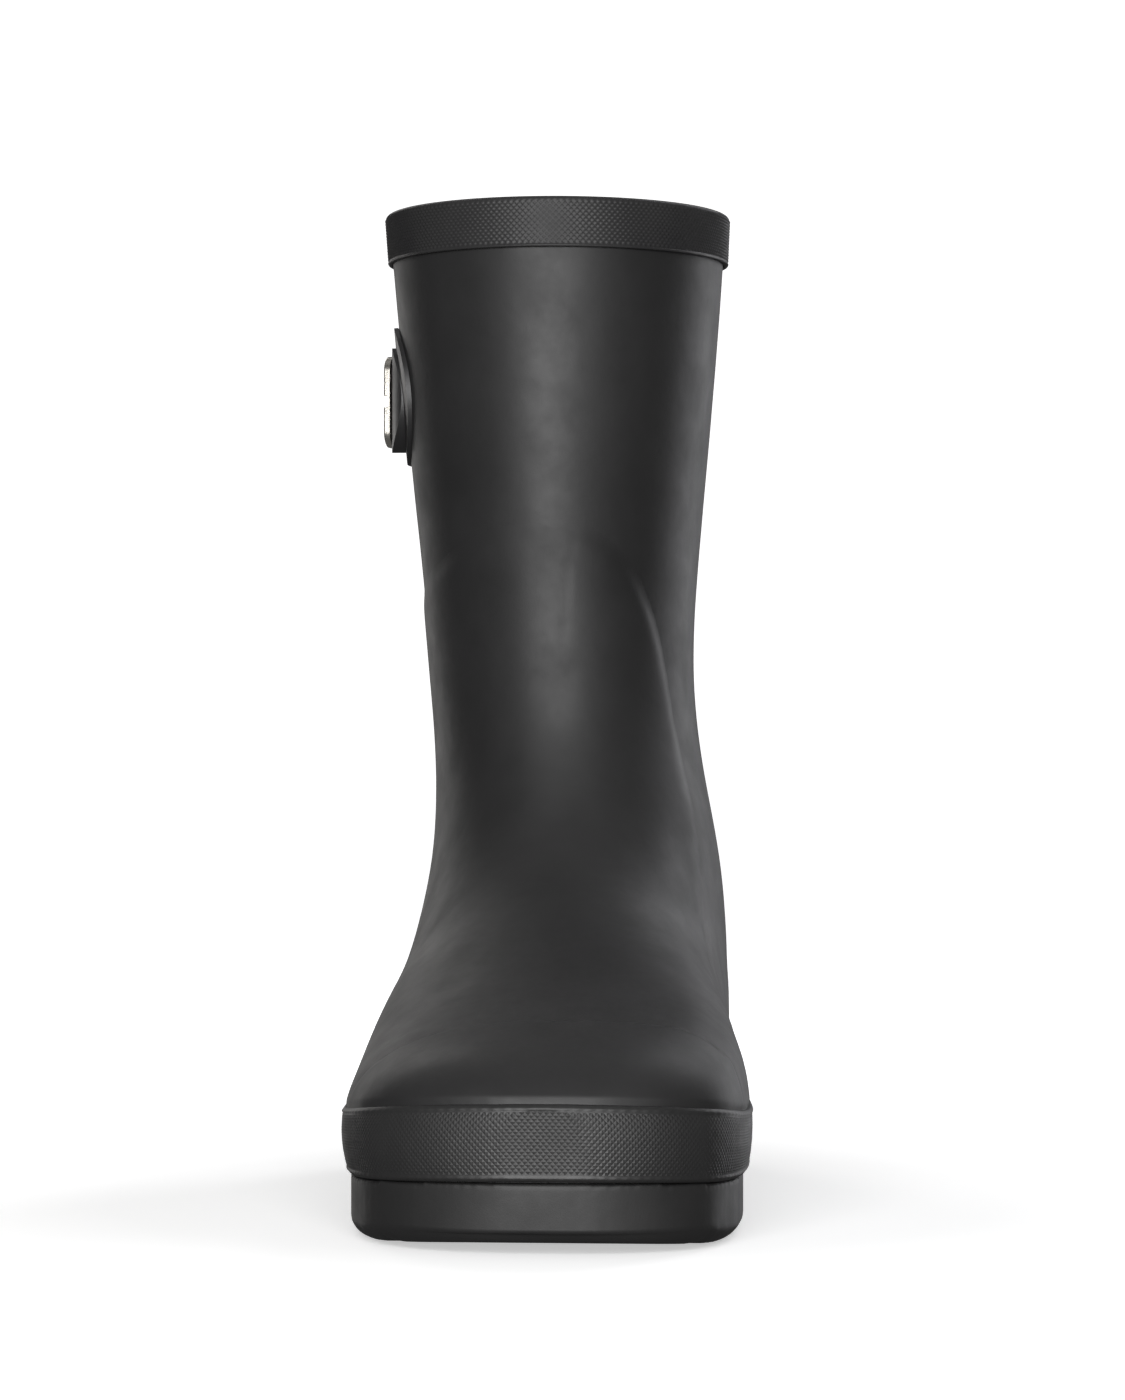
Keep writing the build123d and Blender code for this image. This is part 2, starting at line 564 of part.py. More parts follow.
export_step(buckle_patch.part, "parts/buckle_patch.step")
strap.part.label = "strap"
export_step(strap.part, "parts/strap.step")
strap_keeper.part.label = "strap_keeper"
export_step(strap_keeper.part, "parts/strap_keeper.step")
buckle_chape.part.label = "buckle_chape"
export_step(buckle_chape.part, "parts/buckle_chape.step")
buckle_bar.part.label = "buckle_bar"
export_step(buckle_bar.part, "parts/buckle_bar.step")
buckle_frame.part.label = "buckle_frame"
export_step(buckle_frame.part, "parts/buckle_frame.step")
buckle_prong.part.label = "buckle_prong"
export_step(buckle_prong.part, "parts/buckle_prong.step")
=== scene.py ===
"""Studio scene of a rubber rain boot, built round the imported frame. Lengths are in metres."""
import bpy
import json
import math
import numpy as np
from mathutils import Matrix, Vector
from mathutils.bvhtree import BVHTree

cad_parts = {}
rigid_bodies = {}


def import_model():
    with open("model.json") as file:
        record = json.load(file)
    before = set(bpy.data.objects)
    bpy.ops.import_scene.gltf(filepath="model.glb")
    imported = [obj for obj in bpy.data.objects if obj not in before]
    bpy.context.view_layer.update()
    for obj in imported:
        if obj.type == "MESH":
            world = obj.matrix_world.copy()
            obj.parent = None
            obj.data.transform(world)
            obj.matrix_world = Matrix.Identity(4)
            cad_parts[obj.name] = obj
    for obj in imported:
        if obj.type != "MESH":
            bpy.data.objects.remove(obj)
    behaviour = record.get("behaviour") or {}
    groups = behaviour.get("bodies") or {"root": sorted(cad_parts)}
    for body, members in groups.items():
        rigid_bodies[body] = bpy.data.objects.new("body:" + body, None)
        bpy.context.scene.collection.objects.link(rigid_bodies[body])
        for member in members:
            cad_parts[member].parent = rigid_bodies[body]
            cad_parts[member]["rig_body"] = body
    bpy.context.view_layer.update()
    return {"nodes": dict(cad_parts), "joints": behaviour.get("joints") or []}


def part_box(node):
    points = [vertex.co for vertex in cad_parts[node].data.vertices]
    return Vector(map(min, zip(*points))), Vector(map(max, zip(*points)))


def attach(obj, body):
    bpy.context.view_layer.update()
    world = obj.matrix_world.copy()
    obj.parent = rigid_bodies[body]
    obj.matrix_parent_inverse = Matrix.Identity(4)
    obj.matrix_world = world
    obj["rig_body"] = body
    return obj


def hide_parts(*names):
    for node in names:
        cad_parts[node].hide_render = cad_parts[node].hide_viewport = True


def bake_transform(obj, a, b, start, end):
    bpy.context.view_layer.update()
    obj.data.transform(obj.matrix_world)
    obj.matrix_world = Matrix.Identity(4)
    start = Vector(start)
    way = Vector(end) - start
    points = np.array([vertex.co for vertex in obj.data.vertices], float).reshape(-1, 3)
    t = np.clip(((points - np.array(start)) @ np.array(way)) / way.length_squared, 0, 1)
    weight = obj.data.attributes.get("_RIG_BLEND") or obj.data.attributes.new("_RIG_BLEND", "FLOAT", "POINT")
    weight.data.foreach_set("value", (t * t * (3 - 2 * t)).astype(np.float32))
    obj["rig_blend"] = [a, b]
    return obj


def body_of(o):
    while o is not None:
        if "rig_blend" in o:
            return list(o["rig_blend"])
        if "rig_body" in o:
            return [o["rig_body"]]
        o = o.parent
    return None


MM = 0.001

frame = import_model()


# ---------------------------------------------------------------- materials

def new_material(name):
    """An empty node material, its node tree and its Principled shader."""
    material = bpy.data.materials.new(name)
    material.use_nodes = True
    tree = material.node_tree
    return material, tree, tree.nodes["Principled BSDF"]


def noise(tree, scale, detail=3.0, roughness=0.5, stretch=(1, 1, 1)):
    """A noise texture in object space, in features per metre."""
    nodes, links = tree.nodes, tree.links
    coords = nodes.new("ShaderNodeTexCoord")
    mapping = nodes.new("ShaderNodeMapping")
    mapping.inputs["Scale"].default_value = stretch
    texture = nodes.new("ShaderNodeTexNoise")
    texture.inputs["Scale"].default_value = scale
    texture.inputs["Detail"].default_value = detail
    texture.inputs["Roughness"].default_value = roughness
    links.new(coords.outputs["Object"], mapping.inputs["Vector"])
    links.new(mapping.outputs["Vector"], texture.inputs["Vector"])
    return texture.outputs["Fac"]


def ramp(tree, value, low, high, at=(0.3, 0.7)):
    """A two-colour ramp driven by a value; low and high are greys or RGB triples."""
    node = tree.nodes.new("ShaderNodeValToRGB")
    for stop, where, colour in zip(node.color_ramp.elements, at, (low, high)):
        rgb = (colour,) * 3 if isinstance(colour, float) else colour
        stop.position = where
        stop.color = (*rgb, 1)
    tree.links.new(value, node.inputs["Fac"])
    return node.outputs["Color"]


def bump(tree, height, strength, distance, below=None):
    """A bump node; `below` is another bump's normal to build on."""
    node = tree.nodes.new("ShaderNodeBump")
    node.inputs["Strength"].default_value = strength
    node.inputs["Distance"].default_value = distance
    tree.links.new(height, node.inputs["Height"])
    if below is not None:
        tree.links.new(below, node.inputs["Normal"])
    return node.outputs["Normal"]


def rubber(name, dark, light, rough, grain=0.25, specular=0.5):
    """Matte moulded rubber: clouded colour, uneven sheen, fine grain and slight orange peel."""
    material, tree, shader = new_material(name)
    clouds = noise(tree, 35, 4)
    tree.links.new(ramp(tree, clouds, dark, light), shader.inputs["Base Color"])
    patches = noise(tree, 60, 5, 0.65)
    tree.links.new(ramp(tree, patches, rough - 0.05, rough + 0.07), shader.inputs["Roughness"])
    peel = bump(tree, noise(tree, 260, 2), 0.10, 0.4 * MM)
    fine = bump(tree, noise(tree, 2600, 3), grain, 0.06 * MM, peel)
    tree.links.new(fine, shader.inputs["Normal"])
    shader.inputs["Specular IOR Level"].default_value = specular
    return material


WAVE_UNIT = 0.314  # The wave texture's scale that gives one band per metre.


def knit(name, dark, light, pitch):
    """Knitted or woven cloth: two crossed sets of ribs, `pitch` apart, with fuzz."""
    material, tree, shader = new_material(name)
    nodes, links = tree.nodes, tree.links
    coords = nodes.new("ShaderNodeTexCoord")
    heights = []
    for turn in (math.radians(45), math.radians(-45)):
        mapping = nodes.new("ShaderNodeMapping")
        mapping.inputs["Rotation"].default_value = (turn, turn / 3, turn)
        wave = nodes.new("ShaderNodeTexWave")
        wave.inputs["Scale"].default_value = WAVE_UNIT / pitch
        wave.inputs["Distortion"].default_value = 0.6
        links.new(coords.outputs["Object"], mapping.inputs["Vector"])
        links.new(mapping.outputs["Vector"], wave.inputs["Vector"])
        heights.append(wave.outputs["Fac"])
    join = nodes.new("ShaderNodeMath")
    join.operation = "MAXIMUM"
    links.new(heights[0], join.inputs[0])
    links.new(heights[1], join.inputs[1])
    links.new(ramp(tree, join.outputs[0], dark, light, (0.2, 0.9)), shader.inputs["Base Color"])
    fuzz = bump(tree, noise(tree, 1800, 4), 0.3, 0.15 * MM)
    links.new(bump(tree, join.outputs[0], 0.6, 0.3 * MM, fuzz), shader.inputs["Normal"])
    shader.inputs["Roughness"].default_value = 0.9
    shader.inputs["Sheen Weight"].default_value = 0.3
    return material


def metal(name, low, high, rough):
    """Polished plated metal with fine scratches."""
    material, tree, shader = new_material(name)
    shader.inputs["Metallic"].default_value = 1.0
    tree.links.new(ramp(tree, noise(tree, 180, 4), low, high), shader.inputs["Base Color"])
    scratches = noise(tree, 900, 6, 0.7, (1, 1, 0.12))
    tree.links.new(ramp(tree, scratches, rough - 0.06, rough + 0.12), shader.inputs["Roughness"])
    tree.links.new(bump(tree, scratches, 0.15, 0.05 * MM), shader.inputs["Normal"])
    return material


def foam(name, dark, light, scale=900, rough=0.85):
    """Foam or board: mottled colour with open pores."""
    material, tree, shader = new_material(name)
    pores = noise(tree, scale, 5, 0.7)
    tree.links.new(ramp(tree, pores, dark, light), shader.inputs["Base Color"])
    tree.links.new(bump(tree, pores, 0.5, 0.2 * MM), shader.inputs["Normal"])
    shader.inputs["Roughness"].default_value = rough
    return material


UPPER = rubber("upper_rubber", (0.0145, 0.0142, 0.0145), (0.020, 0.0196, 0.020), rough=0.54)
RAISED = rubber("raised_rubber", (0.017, 0.0168, 0.017), (0.025, 0.0245, 0.0245), rough=0.5, grain=0.3)
KNURLED = rubber("knurled_rubber", (0.024, 0.0235, 0.0245), (0.035, 0.0345, 0.0345), rough=0.48,
                 grain=0.15, specular=0.35)
SOLE = rubber("sole_rubber", (0.014, 0.0138, 0.014), (0.021, 0.0205, 0.0205), rough=0.58, grain=0.4)
STRAP = rubber("strap_rubber", (0.014, 0.0138, 0.0142), (0.02, 0.0198, 0.0202), rough=0.46)
KNIT = knit("lining_knit", (0.012, 0.012, 0.014), (0.05, 0.05, 0.055), 1.1 * MM)
CLOTH = knit("cover_cloth", (0.02, 0.02, 0.022), (0.075, 0.075, 0.08), 0.8 * MM)
METAL = metal("buckle_metal", (0.62, 0.59, 0.54), (0.80, 0.77, 0.71), rough=0.24)
STEEL = metal("shank_steel", (0.35, 0.35, 0.36), (0.5, 0.5, 0.5), rough=0.4)
FOAM = foam("footbed_foam", (0.03, 0.03, 0.033), (0.09, 0.09, 0.095))
FILLER = foam("filler_foam", (0.05, 0.05, 0.05), (0.12, 0.12, 0.12), scale=600)
BOARD = foam("insole_fibreboard", (0.26, 0.19, 0.12), (0.40, 0.31, 0.21), scale=1500)
STIFF = foam("stiffener_board", (0.09, 0.075, 0.06), (0.16, 0.13, 0.1), scale=1200, rough=0.7)

# The CAD nodes that stay visible as they are, by material.
KEPT_NODES = {
    KNIT: ("leg_lining",),
    STIFF: ("heel_counter", "toe_puff"),
    STEEL: ("shank",),
    FILLER: ("sole_filler",),
    BOARD: ("insole_board",),
    STRAP: ("strap_patch", "buckle_patch", "strap", "strap_keeper", "buckle_chape"),
    METAL: ("buckle_bar", "buckle_frame", "buckle_prong"),
}
for material, nodes in KEPT_NODES.items():
    for node in nodes:
        mesh = frame["nodes"][node].data
        mesh.materials.clear()
        mesh.materials.append(material)


# ---------------------------------------------------------------- surface tools

def tree_of(node):
    """A ray-casting tree of a CAD node's mesh, which lies in the row frame."""
    mesh = frame["nodes"][node].data
    corners = [v.co.copy() for v in mesh.vertices]
    return BVHTree.FromPolygons(corners, [tuple(p.vertices) for p in mesh.polygons])


def spline(points, count):
    """`count` points, evenly spread in parameter, on a smooth curve through rows of numbers."""
    rows = np.array(points, float)
    padded = np.vstack([2 * rows[0] - rows[1], rows, 2 * rows[-1] - rows[-2]])
    out = []
    for u in np.linspace(0, len(rows) - 1, count):
        i = min(int(u), len(rows) - 2)
        f = u - i
        a, b, c, d = padded[i:i + 4]
        out.append(0.5 * (2 * b + (c - a) * f + (2 * a - 5 * b + 4 * c - d) * f ** 2
                          + (3 * b - a - 3 * c + d) * f ** 3))
    return np.array(out)


def soften(field, passes):
    """Averages a grid of numbers or points with its neighbours, keeping its borders."""
    for _ in range(passes):
        along = field.copy()
        along[1:-1] = 0.25 * field[:-2] + 0.5 * field[1:-1] + 0.25 * field[2:]
        field = along.copy()
        field[:, 1:-1] = 0.25 * along[:, :-2] + 0.5 * along[:, 1:-1] + 0.25 * along[:, 2:]
    return field


def smooth_loop(loop, passes):
    """A closed run of numbers or points averaged along itself."""
    for _ in range(passes):
        loop = (np.roll(loop, 1, 0) + 2 * loop + np.roll(loop, -1, 0)) / 4
    return loop


def grid_normals(points):
    """Unit normals of a grid of points."""
    normals = np.cross(np.gradient(points, axis=1), np.gradient(points, axis=0))
    return normals / np.maximum(np.linalg.norm(normals, axis=2, keepdims=True), 1e-12)


def piece_from(name, points, faces, material, body="root"):
    """A smooth-shaded mesh object in the row frame, with one material, riding on a body if one is named."""
    mesh = bpy.data.meshes.new(name)
    mesh.from_pydata([tuple(p) for p in points], [], [tuple(f) for f in faces])
    mesh.validate()
    mesh.update()
    mesh.shade_smooth()
    mesh.materials.append(material)
    piece = bpy.data.objects.new(name, mesh)
    bpy.context.scene.collection.objects.link(piece)
    if body:
        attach(piece, body)
    return piece


def closed_layer(name, outer, inner, keep, material, body="root"):
    """A closed piece between two grids of points, over the grid cells that `keep` marks."""
    rows, columns = outer.shape[:2]
    index = np.arange(rows * columns).reshape(rows, columns)
    faces, borders = [], set()
    for i, j in zip(*np.nonzero(keep)):
        a, b, c, d = index[i, j], index[i, j + 1], index[i + 1, j + 1], index[i + 1, j]
        faces.append((a, b, c, d))
        for edge in ((a, b), (b, c), (c, d), (d, a)):
            if (edge[1], edge[0]) in borders:
                borders.remove((edge[1], edge[0]))
            else:
                borders.add(edge)
    count = rows * columns
    faces += [tuple(v + count for v in reversed(face)) for face in faces]
    faces += [(b, a, a + count, b + count) for a, b in sorted(borders)]
    points = np.vstack([outer.reshape(-1, 3), inner.reshape(-1, 3)])
    used = np.unique(faces)
    renumber = np.zeros(2 * count, int)
    renumber[used] = np.arange(len(used))
    return piece_from(name, points[used], renumber[np.array(faces)], material, body)


# ---------------------------------------------------------------- upper skin

# Lines that fan across the boot from the leg's mouth to the toe: (front y, z), (back y, z) in mm.
FAN = [
    (14, 291.8, 138, 291.8), (14, 250, 135, 250), (15, 215, 132, 215), (16, 185, 130, 183),
    (16, 160, 128, 148), (12, 139, 130, 112), (5, 120, 135, 74), (-6, 103, 142, 38),
    (-20, 90, 129, 2), (-37, 79, 71, -14), (-56, 70, 11, -14), (-75, 64, -39, -12),
    (-94, 60, -79, -8), (-111, 56, -105, -4), (-125, 52, -123, 2), (-135, 46, -135, 8),
    (-141.2, 39, -141.2, 18),
]
ROWS, COLUMNS = 321, 281
EDGE_STEP = 4 * MM
HEM = 9 * MM  # The skin ends this far above the shell's lower edge, behind the foxing.
STAND_OFF = 60 * MM
SEARCH_STEPS = 64


def edge_line(node, pick):
    """The lowest (min) or highest (max) edge of a node along the boot, as y values and their levels."""
    levels = {}
    for v in frame["nodes"][node].data.vertices:
        step = round(v.co.y / EDGE_STEP)
        levels[step] = pick(levels.get(step, v.co.z), v.co.z)
    steps = sorted(levels)
    return np.array(steps) * EDGE_STEP, np.array([levels[step] for step in steps])


shell_tree = tree_of("upper_shell")
shell_hem = edge_line("upper_shell", min)


def skin_point(line, angle):
    """The shell's outer face on one fan line, `angle` round from its front, or None."""
    front, back = Vector((0, line[0], line[1])) * MM, Vector((0, line[2], line[3])) * MM
    reach = (front - back).length / 2 + STAND_OFF
    out = (front - back).normalized() * math.cos(angle) + Vector((1, 0, 0)) * math.sin(angle)
    return shell_tree.ray_cast((front + back) / 2 + out * reach, -out, reach)[0]


def skin_grid():
    """Points on the shell's outer face, each row running from hem to hem or right round the leg."""
    grid = []
    for line in spline(FAN, ROWS):
        turn = {-1: 0.0, 1: 0.0}
        for side in turn:
            for angle in np.linspace(0, math.pi, SEARCH_STEPS):
                hit = skin_point(line, side * angle)
                if hit is None or hit.z < np.interp(hit.y, *shell_hem) + HEM:
                    break
                turn[side] = angle
        row = []
        for share in np.linspace(1, -1, COLUMNS):
            hit = skin_point(line, share * turn[-1 if share < 0 else 1])
            row.append(hit if hit is not None else row[-1])
        grid.append([tuple(point) for point in row])
    return np.array(grid)


skin = soften(skin_grid(), 5)
normals = grid_normals(skin)

# Round the leg the two ends of a row meet at the back, where they are brought into line.
SAME_PLACE = 0.1 * MM
meets = np.linalg.norm(skin[:, 0] - skin[:, -1], axis=1) < SAME_PLACE
for grid in (skin, normals):
    grid[meets, 0] = grid[meets, -1] = (grid[meets, 1] + grid[meets, -2]) / 2

# A faint pressed line runs down the front of the ankle, given here from its foot up as (x, z) in mm.
CREASE = [(-0.8, 158), (0.2, 166), (0.6, 174), (1.2, 183), (3.0, 192)]
CREASE_DEEP, CREASE_WIDE, CREASE_FADE = 0.13 * MM, 1.0 * MM, 8 * MM
CREASE_LOW, CREASE_HIGH, FRONT_SIDE = 155 * MM, 195 * MM, 40 * MM
x, y, z = np.moveaxis(skin, 2, 0)
crease_x, crease_z = np.array(CREASE).T * MM
from_crease = (x - np.interp(z, crease_z, crease_x)) / CREASE_WIDE
fade = np.clip((z - CREASE_LOW) / CREASE_FADE, 0, 1) * np.clip((CREASE_HIGH - z) / CREASE_FADE, 0, 1)
groove = CREASE_DEEP * np.exp(-from_crease ** 2) * fade * (y < FRONT_SIDE)

# The rubber is very slightly uneven, in patches a few centimetres across.
UNEVEN = 0.22 * MM
unevenness = UNEVEN * np.sin(z / 0.021 + 2.2 * np.sin(x / 0.02)) * np.sin(y / 0.027 + x / 0.031)
skin = skin + normals * (unevenness - groove)[:, :, None]

# The shell's own piece takes every second point.
SHELL_THICK = 1.6 * MM
coarse_skin, coarse_normals = skin[::2, ::2], normals[::2, ::2]
shell_piece = closed_layer("upper_shell_skin", coarse_skin, coarse_skin - SHELL_THICK * coarse_normals,
                           np.ones((ROWS // 2, COLUMNS // 2), bool), UPPER)
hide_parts("upper_shell")


# ---------------------------------------------------------------- rubber layers on the skin

LOOK_FROM, LOOK_LONG = 3 * MM, 4 * MM


def layer_rise(node):
    """How far a CAD layer stands off the skin at each grid point, in metres."""
    layer = tree_of(node)
    rise = np.zeros(skin.shape[:2])
    low, high = (np.array(corner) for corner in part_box(node))
    near = np.all((skin > low - LOOK_LONG) & (skin < high + LOOK_LONG), axis=2)
    for i, j in zip(*np.nonzero(near)):
        start = Vector(skin[i, j] + LOOK_FROM * normals[i, j])
        hit = layer.ray_cast(start, Vector(-normals[i, j]), LOOK_LONG)[0]
        if hit is not None:
            rise[i, j] = max(0.0, LOOK_FROM - (hit - start).length)
    return rise


def carry_under(rise, steps=10):
    """A layer's rise with its values spread into the hidden grid points beside it."""
    for _ in range(steps):
        wide = np.pad(rise, 1, mode="edge")
        beside = np.maximum.reduce([wide[:-2, 1:-1], wide[2:, 1:-1], wide[1:-1, :-2], wide[1:-1, 2:]])
        rise = np.where(hidden, np.maximum(rise, beside), rise)
    return rise


# The layers carry on a little way under the foxing, which hides their ends, and sink as they go in.
HIDDEN_FROM, SINK_REACH, SINK_TO = 0.3 * MM, 1.2 * MM, 0.4
depth = np.interp(skin[:, :, 1], *edge_line("foxing_band", max)) - skin[:, :, 2]
hidden = depth > HIDDEN_FROM
sunk = np.interp(depth, (-SINK_REACH, SINK_REACH), (1.0, SINK_TO))

# Each layer's softening passes, and the height of the rounded bead along its edge in mm. Its rim ends
# just under the skin, and its inner face lies deeper.
LAYERS = {"vamp_overlay": (4, 0.15), "toe_cap": (4, 0.4), "heel_guard": (5, 0.2), "back_strip": (5, 0.0)}
LEAST_RISE, RIM_UNDER, INNER_UNDER = 0.004 * MM, 0.05 * MM, 0.3 * MM
for node, (passes, bead) in LAYERS.items():
    rise = soften(carry_under(layer_rise(node)), passes)
    share = rise / rise.max()
    rise = (rise + bead * MM * 4 * share * (1 - share)) * sunk
    marked = rise > LEAST_RISE
    keep = marked[:-1, :-1] | marked[1:, :-1] | marked[:-1, 1:] | marked[1:, 1:]
    outer = skin + normals * (rise - RIM_UNDER)[:, :, None]
    layer = closed_layer(node + "_skin", outer, skin - INNER_UNDER * normals, keep, UPPER)
    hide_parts(node)


# ---------------------------------------------------------------- knurled collar and foxing tape

def closed_band(name, rings, material, meshed=()):
    """A closed band from rings of points; between meshed rings it has flat triangles that meet at peaks."""
    count = rings.shape[1]
    faces, smooth = [], []
    for i in range(len(rings)):
        above = (i + 1) % len(rings)
        for j in range(count):
            k = (j + 1) % count
            a, b, c, d = i * count + j, i * count + k, above * count + k, above * count + j
            if i in meshed and above in meshed:
                faces += ((a, b, d), (b, c, d)) if (i + j) % 2 == 0 else ((a, b, c), (a, c, d))
                smooth += [False, False]
            else:
                faces.append((a, b, c, d))
                smooth.append(True)
    band = piece_from(name, rings.reshape(-1, 3), faces, material)
    band.data.polygons.foreach_set("use_smooth", smooth)
    return band


def even_outline(trace, pitch, multiple):
    """Turns that step evenly, by about `pitch`, round the closed outline that `trace` gives.

    Their number is a multiple of `multiple`.
    """
    turns = np.linspace(0, 2 * math.pi, 721)
    points = np.array([trace(turn) for turn in turns])
    lengths = np.concatenate([[0], np.cumsum(np.linalg.norm(np.diff(points, axis=0), axis=1))])
    count = multiple * round(lengths[-1] / pitch / multiple)
    return np.interp(np.arange(count) / count * lengths[-1], lengths, turns)


def outward_of(points):
    """Level outward directions of a closed ring of points."""
    run = np.roll(points, -1, 0) - np.roll(points, 1, 0)
    out = np.stack([run[:, 1], -run[:, 0], np.zeros(len(run))], 1)
    return out / np.linalg.norm(out, axis=1, keepdims=True)


# Collar: a plain lower border, diamond knurling, and a rolled top that covers the shell's rim. Its rows
# are given from the bottom up, as the height and how far the face stands out from the CAD face, in mm.
collar_tree = tree_of("collar_band")
collar_low, collar_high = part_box("collar_band")
collar_middle = Vector(((collar_low[0] + collar_high[0]) / 2, (collar_low[1] + collar_high[1]) / 2, 0))
COLLAR_REACH = 0.12


def collar_point(turn, z):
    """The collar's outer face at a height, `turn` round the leg."""
    out = Vector((math.cos(turn), math.sin(turn), 0))
    return collar_tree.ray_cast(collar_middle + out * COLLAR_REACH + Vector((0, 0, z)), -out, COLLAR_REACH)[0]


KNURL_STEP, KNURL_DEEP = 0.45, 0.65
RIDGE = np.array([0.0, 0.6, 1.0, 0.6]) * KNURL_DEEP
BORDER_ROWS = [(0.0, -1.5), (0.0, -0.5), (0.15, -0.15), (0.45, 0.0), (0.7, -0.15)]
KNURL_ROWS = [(1.1 + KNURL_STEP * i, -KNURL_DEEP) for i in range(29)]
ROLL_ROWS = [(14.2, -0.45), (14.55, -0.75), (14.8, -1.15), (14.95, -1.6),
             (15.0, -2.3), (14.85, -2.9), (14.5, -3.2), (14.0, -3.25)]
FACE_LOW, FACE_MIDDLE, FACE_HIGH = 1.0, 7.0, 14.0
collar_turns = even_outline(lambda turn: collar_point(turn, collar_low[2] + FACE_MIDDLE * MM),
                            KNURL_STEP * MM, multiple=len(RIDGE))
low_ring = np.array([collar_point(turn, collar_low[2] + FACE_LOW * MM) for turn in collar_turns])
high_ring = np.array([collar_point(turn, collar_low[2] + FACE_HIGH * MM) for turn in collar_turns])
collar_out = outward_of(low_ring)
rings = []
for n, (up, off) in enumerate(BORDER_ROWS + KNURL_ROWS + ROLL_ROWS):
    ring = low_ring + (high_ring - low_ring) * (up - FACE_LOW) / (FACE_HIGH - FACE_LOW)
    ring[:, 2] = collar_low[2] + up * MM
    raised = np.zeros(len(ring))
    if (up, off) in KNURL_ROWS:
        # Two slanting sets of ridges cross, and the knurl stands up where they meet.
        slants = [(np.arange(len(ring)) + way * n) % len(RIDGE) for way in (1, -1)]
        raised = np.minimum(RIDGE[slants[0]], RIDGE[slants[1]])
    rings.append(ring + collar_out * ((off + raised) * MM)[:, None])
collar = closed_band("collar_band_knurled", np.array(rings), KNURLED)
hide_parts("collar_band")

# Foxing tape: rounded edges, a row of short ribs inside each edge, and a fine crossed mesh between.
foxing_tree = tree_of("foxing_band")
foxing_low, foxing_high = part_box("foxing_band")
foxing_half_long = (foxing_high[1] - foxing_low[1]) / 2
foxing_middle = (foxing_low[0] + foxing_high[0]) / 2
FOXING_SIDE, FOXING_REACH = 0.09, 0.11
START_LONG, AIM_LONG = foxing_half_long + 0.02, foxing_half_long - 0.05
LEVEL_STEP = 0.25 * MM


def foxing_point(turn, z):
    """The foxing's outer face at a height, on the level line that points `turn` round the sole."""
    start = Vector((math.cos(turn) * FOXING_SIDE, math.sin(turn) * START_LONG, 0))
    run = (Vector((0, math.sin(turn) * AIM_LONG, 0)) - start).normalized()
    return foxing_tree.ray_cast(start + Vector((foxing_middle, 0, z)), run, FOXING_REACH)[0]


DEGREES = np.radians(np.arange(360))


def at_turn(turn, values):
    """Values that are known once a degree round a loop, read at a turn or at many turns."""
    return np.interp(turn, DEGREES, values, period=2 * math.pi)


levels = np.arange(foxing_low[2] - MM, foxing_high[2] + MM, LEVEL_STEP)
seen = [[z for z in levels if foxing_point(turn, z)] for turn in DEGREES]
lows = smooth_loop(np.array([heights[0] for heights in seen]), 6)
highs = smooth_loop(np.array([heights[-1] for heights in seen]), 6)
foxing_turns = even_outline(lambda turn: foxing_point(turn, at_turn(turn, (lows + highs) / 2)),
                            0.8 * MM, multiple=2)
bottom, top = at_turn(foxing_turns, lows), at_turn(foxing_turns, highs)

# Each row's height above the lower edge or below the upper one, and how far it stands out, in mm.
LOW_ROWS = [(0.0, -2.2), (0.0, -1.1), (0.1, -0.65), (0.35, -0.3), (0.75, -0.1), (1.2, 0.0), (1.6, -0.2)]
HIGH_ROWS = LOW_ROWS[::-1]
MESH_ROWS, MESH_INSET, MESH_OFF = 20, 2.0, -0.2
MESH_TALL, RIB_TALL, RIB_STEPS = 0.14, 0.22, 4
CAST_INSET = 0.5 * MM
rows = [(bottom + up * MM, off) for up, off in LOW_ROWS]
for share in np.linspace(0, 1, MESH_ROWS):
    rows.append((bottom + MESH_INSET * MM + (top - bottom - 2 * MESH_INSET * MM) * share, MESH_OFF))
rows += [(top - down * MM, off) for down, off in HIGH_ROWS]
meshed = range(len(LOW_ROWS), len(LOW_ROWS) + MESH_ROWS)
rings = []
for n, (height, off) in enumerate(rows):
    inside = np.clip(height, bottom + CAST_INSET, top - CAST_INSET)
    ring = np.array([foxing_point(turn, z) for turn, z in zip(foxing_turns, inside)])
    ring[:, 2] = height
    steps = np.arange(len(ring))
    raised = np.zeros(len(ring))
    if n in meshed:
        raised = ((steps + n) % 2 == 0) * MESH_TALL
    elif off == 0.0:
        raised = (steps % RIB_STEPS < RIB_STEPS / 2) * RIB_TALL
    rings.append(ring + outward_of(ring) * ((off + raised) * MM)[:, None])
foxing = closed_band("foxing_band_meshed", np.array(rings), RAISED, meshed)
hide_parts("foxing_band")


# ---------------------------------------------------------------- outsole

def moulded_copy(name, node, voxel, passes, material):
    """A CAD node's shape with its edges rounded as a mould leaves them."""
    source = frame["nodes"][node]
    draft = bpy.data.objects.new(name + "_draft", source.data.copy())
    bpy.context.scene.collection.objects.link(draft)
    remesh = draft.modifiers.new("voxels", "REMESH")
    remesh.mode = "VOXEL"
    remesh.voxel_size = voxel
    smooth = draft.modifiers.new("smooth", "SMOOTH")
    smooth.factor = 0.5
    smooth.iterations = passes
    bpy.context.view_layer.update()
    shape = draft.evaluated_get(bpy.context.evaluated_depsgraph_get())
    mesh = bpy.data.meshes.new_from_object(shape)
    bpy.data.objects.remove(draft)
    mesh.name = name
    mesh.materials.clear()
    mesh.materials.append(material)
    mesh.shade_smooth()
    piece = bpy.data.objects.new(name, mesh)
    bpy.context.scene.collection.objects.link(piece)
    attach(piece, body_of(source)[0])
    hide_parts(node)
    return piece


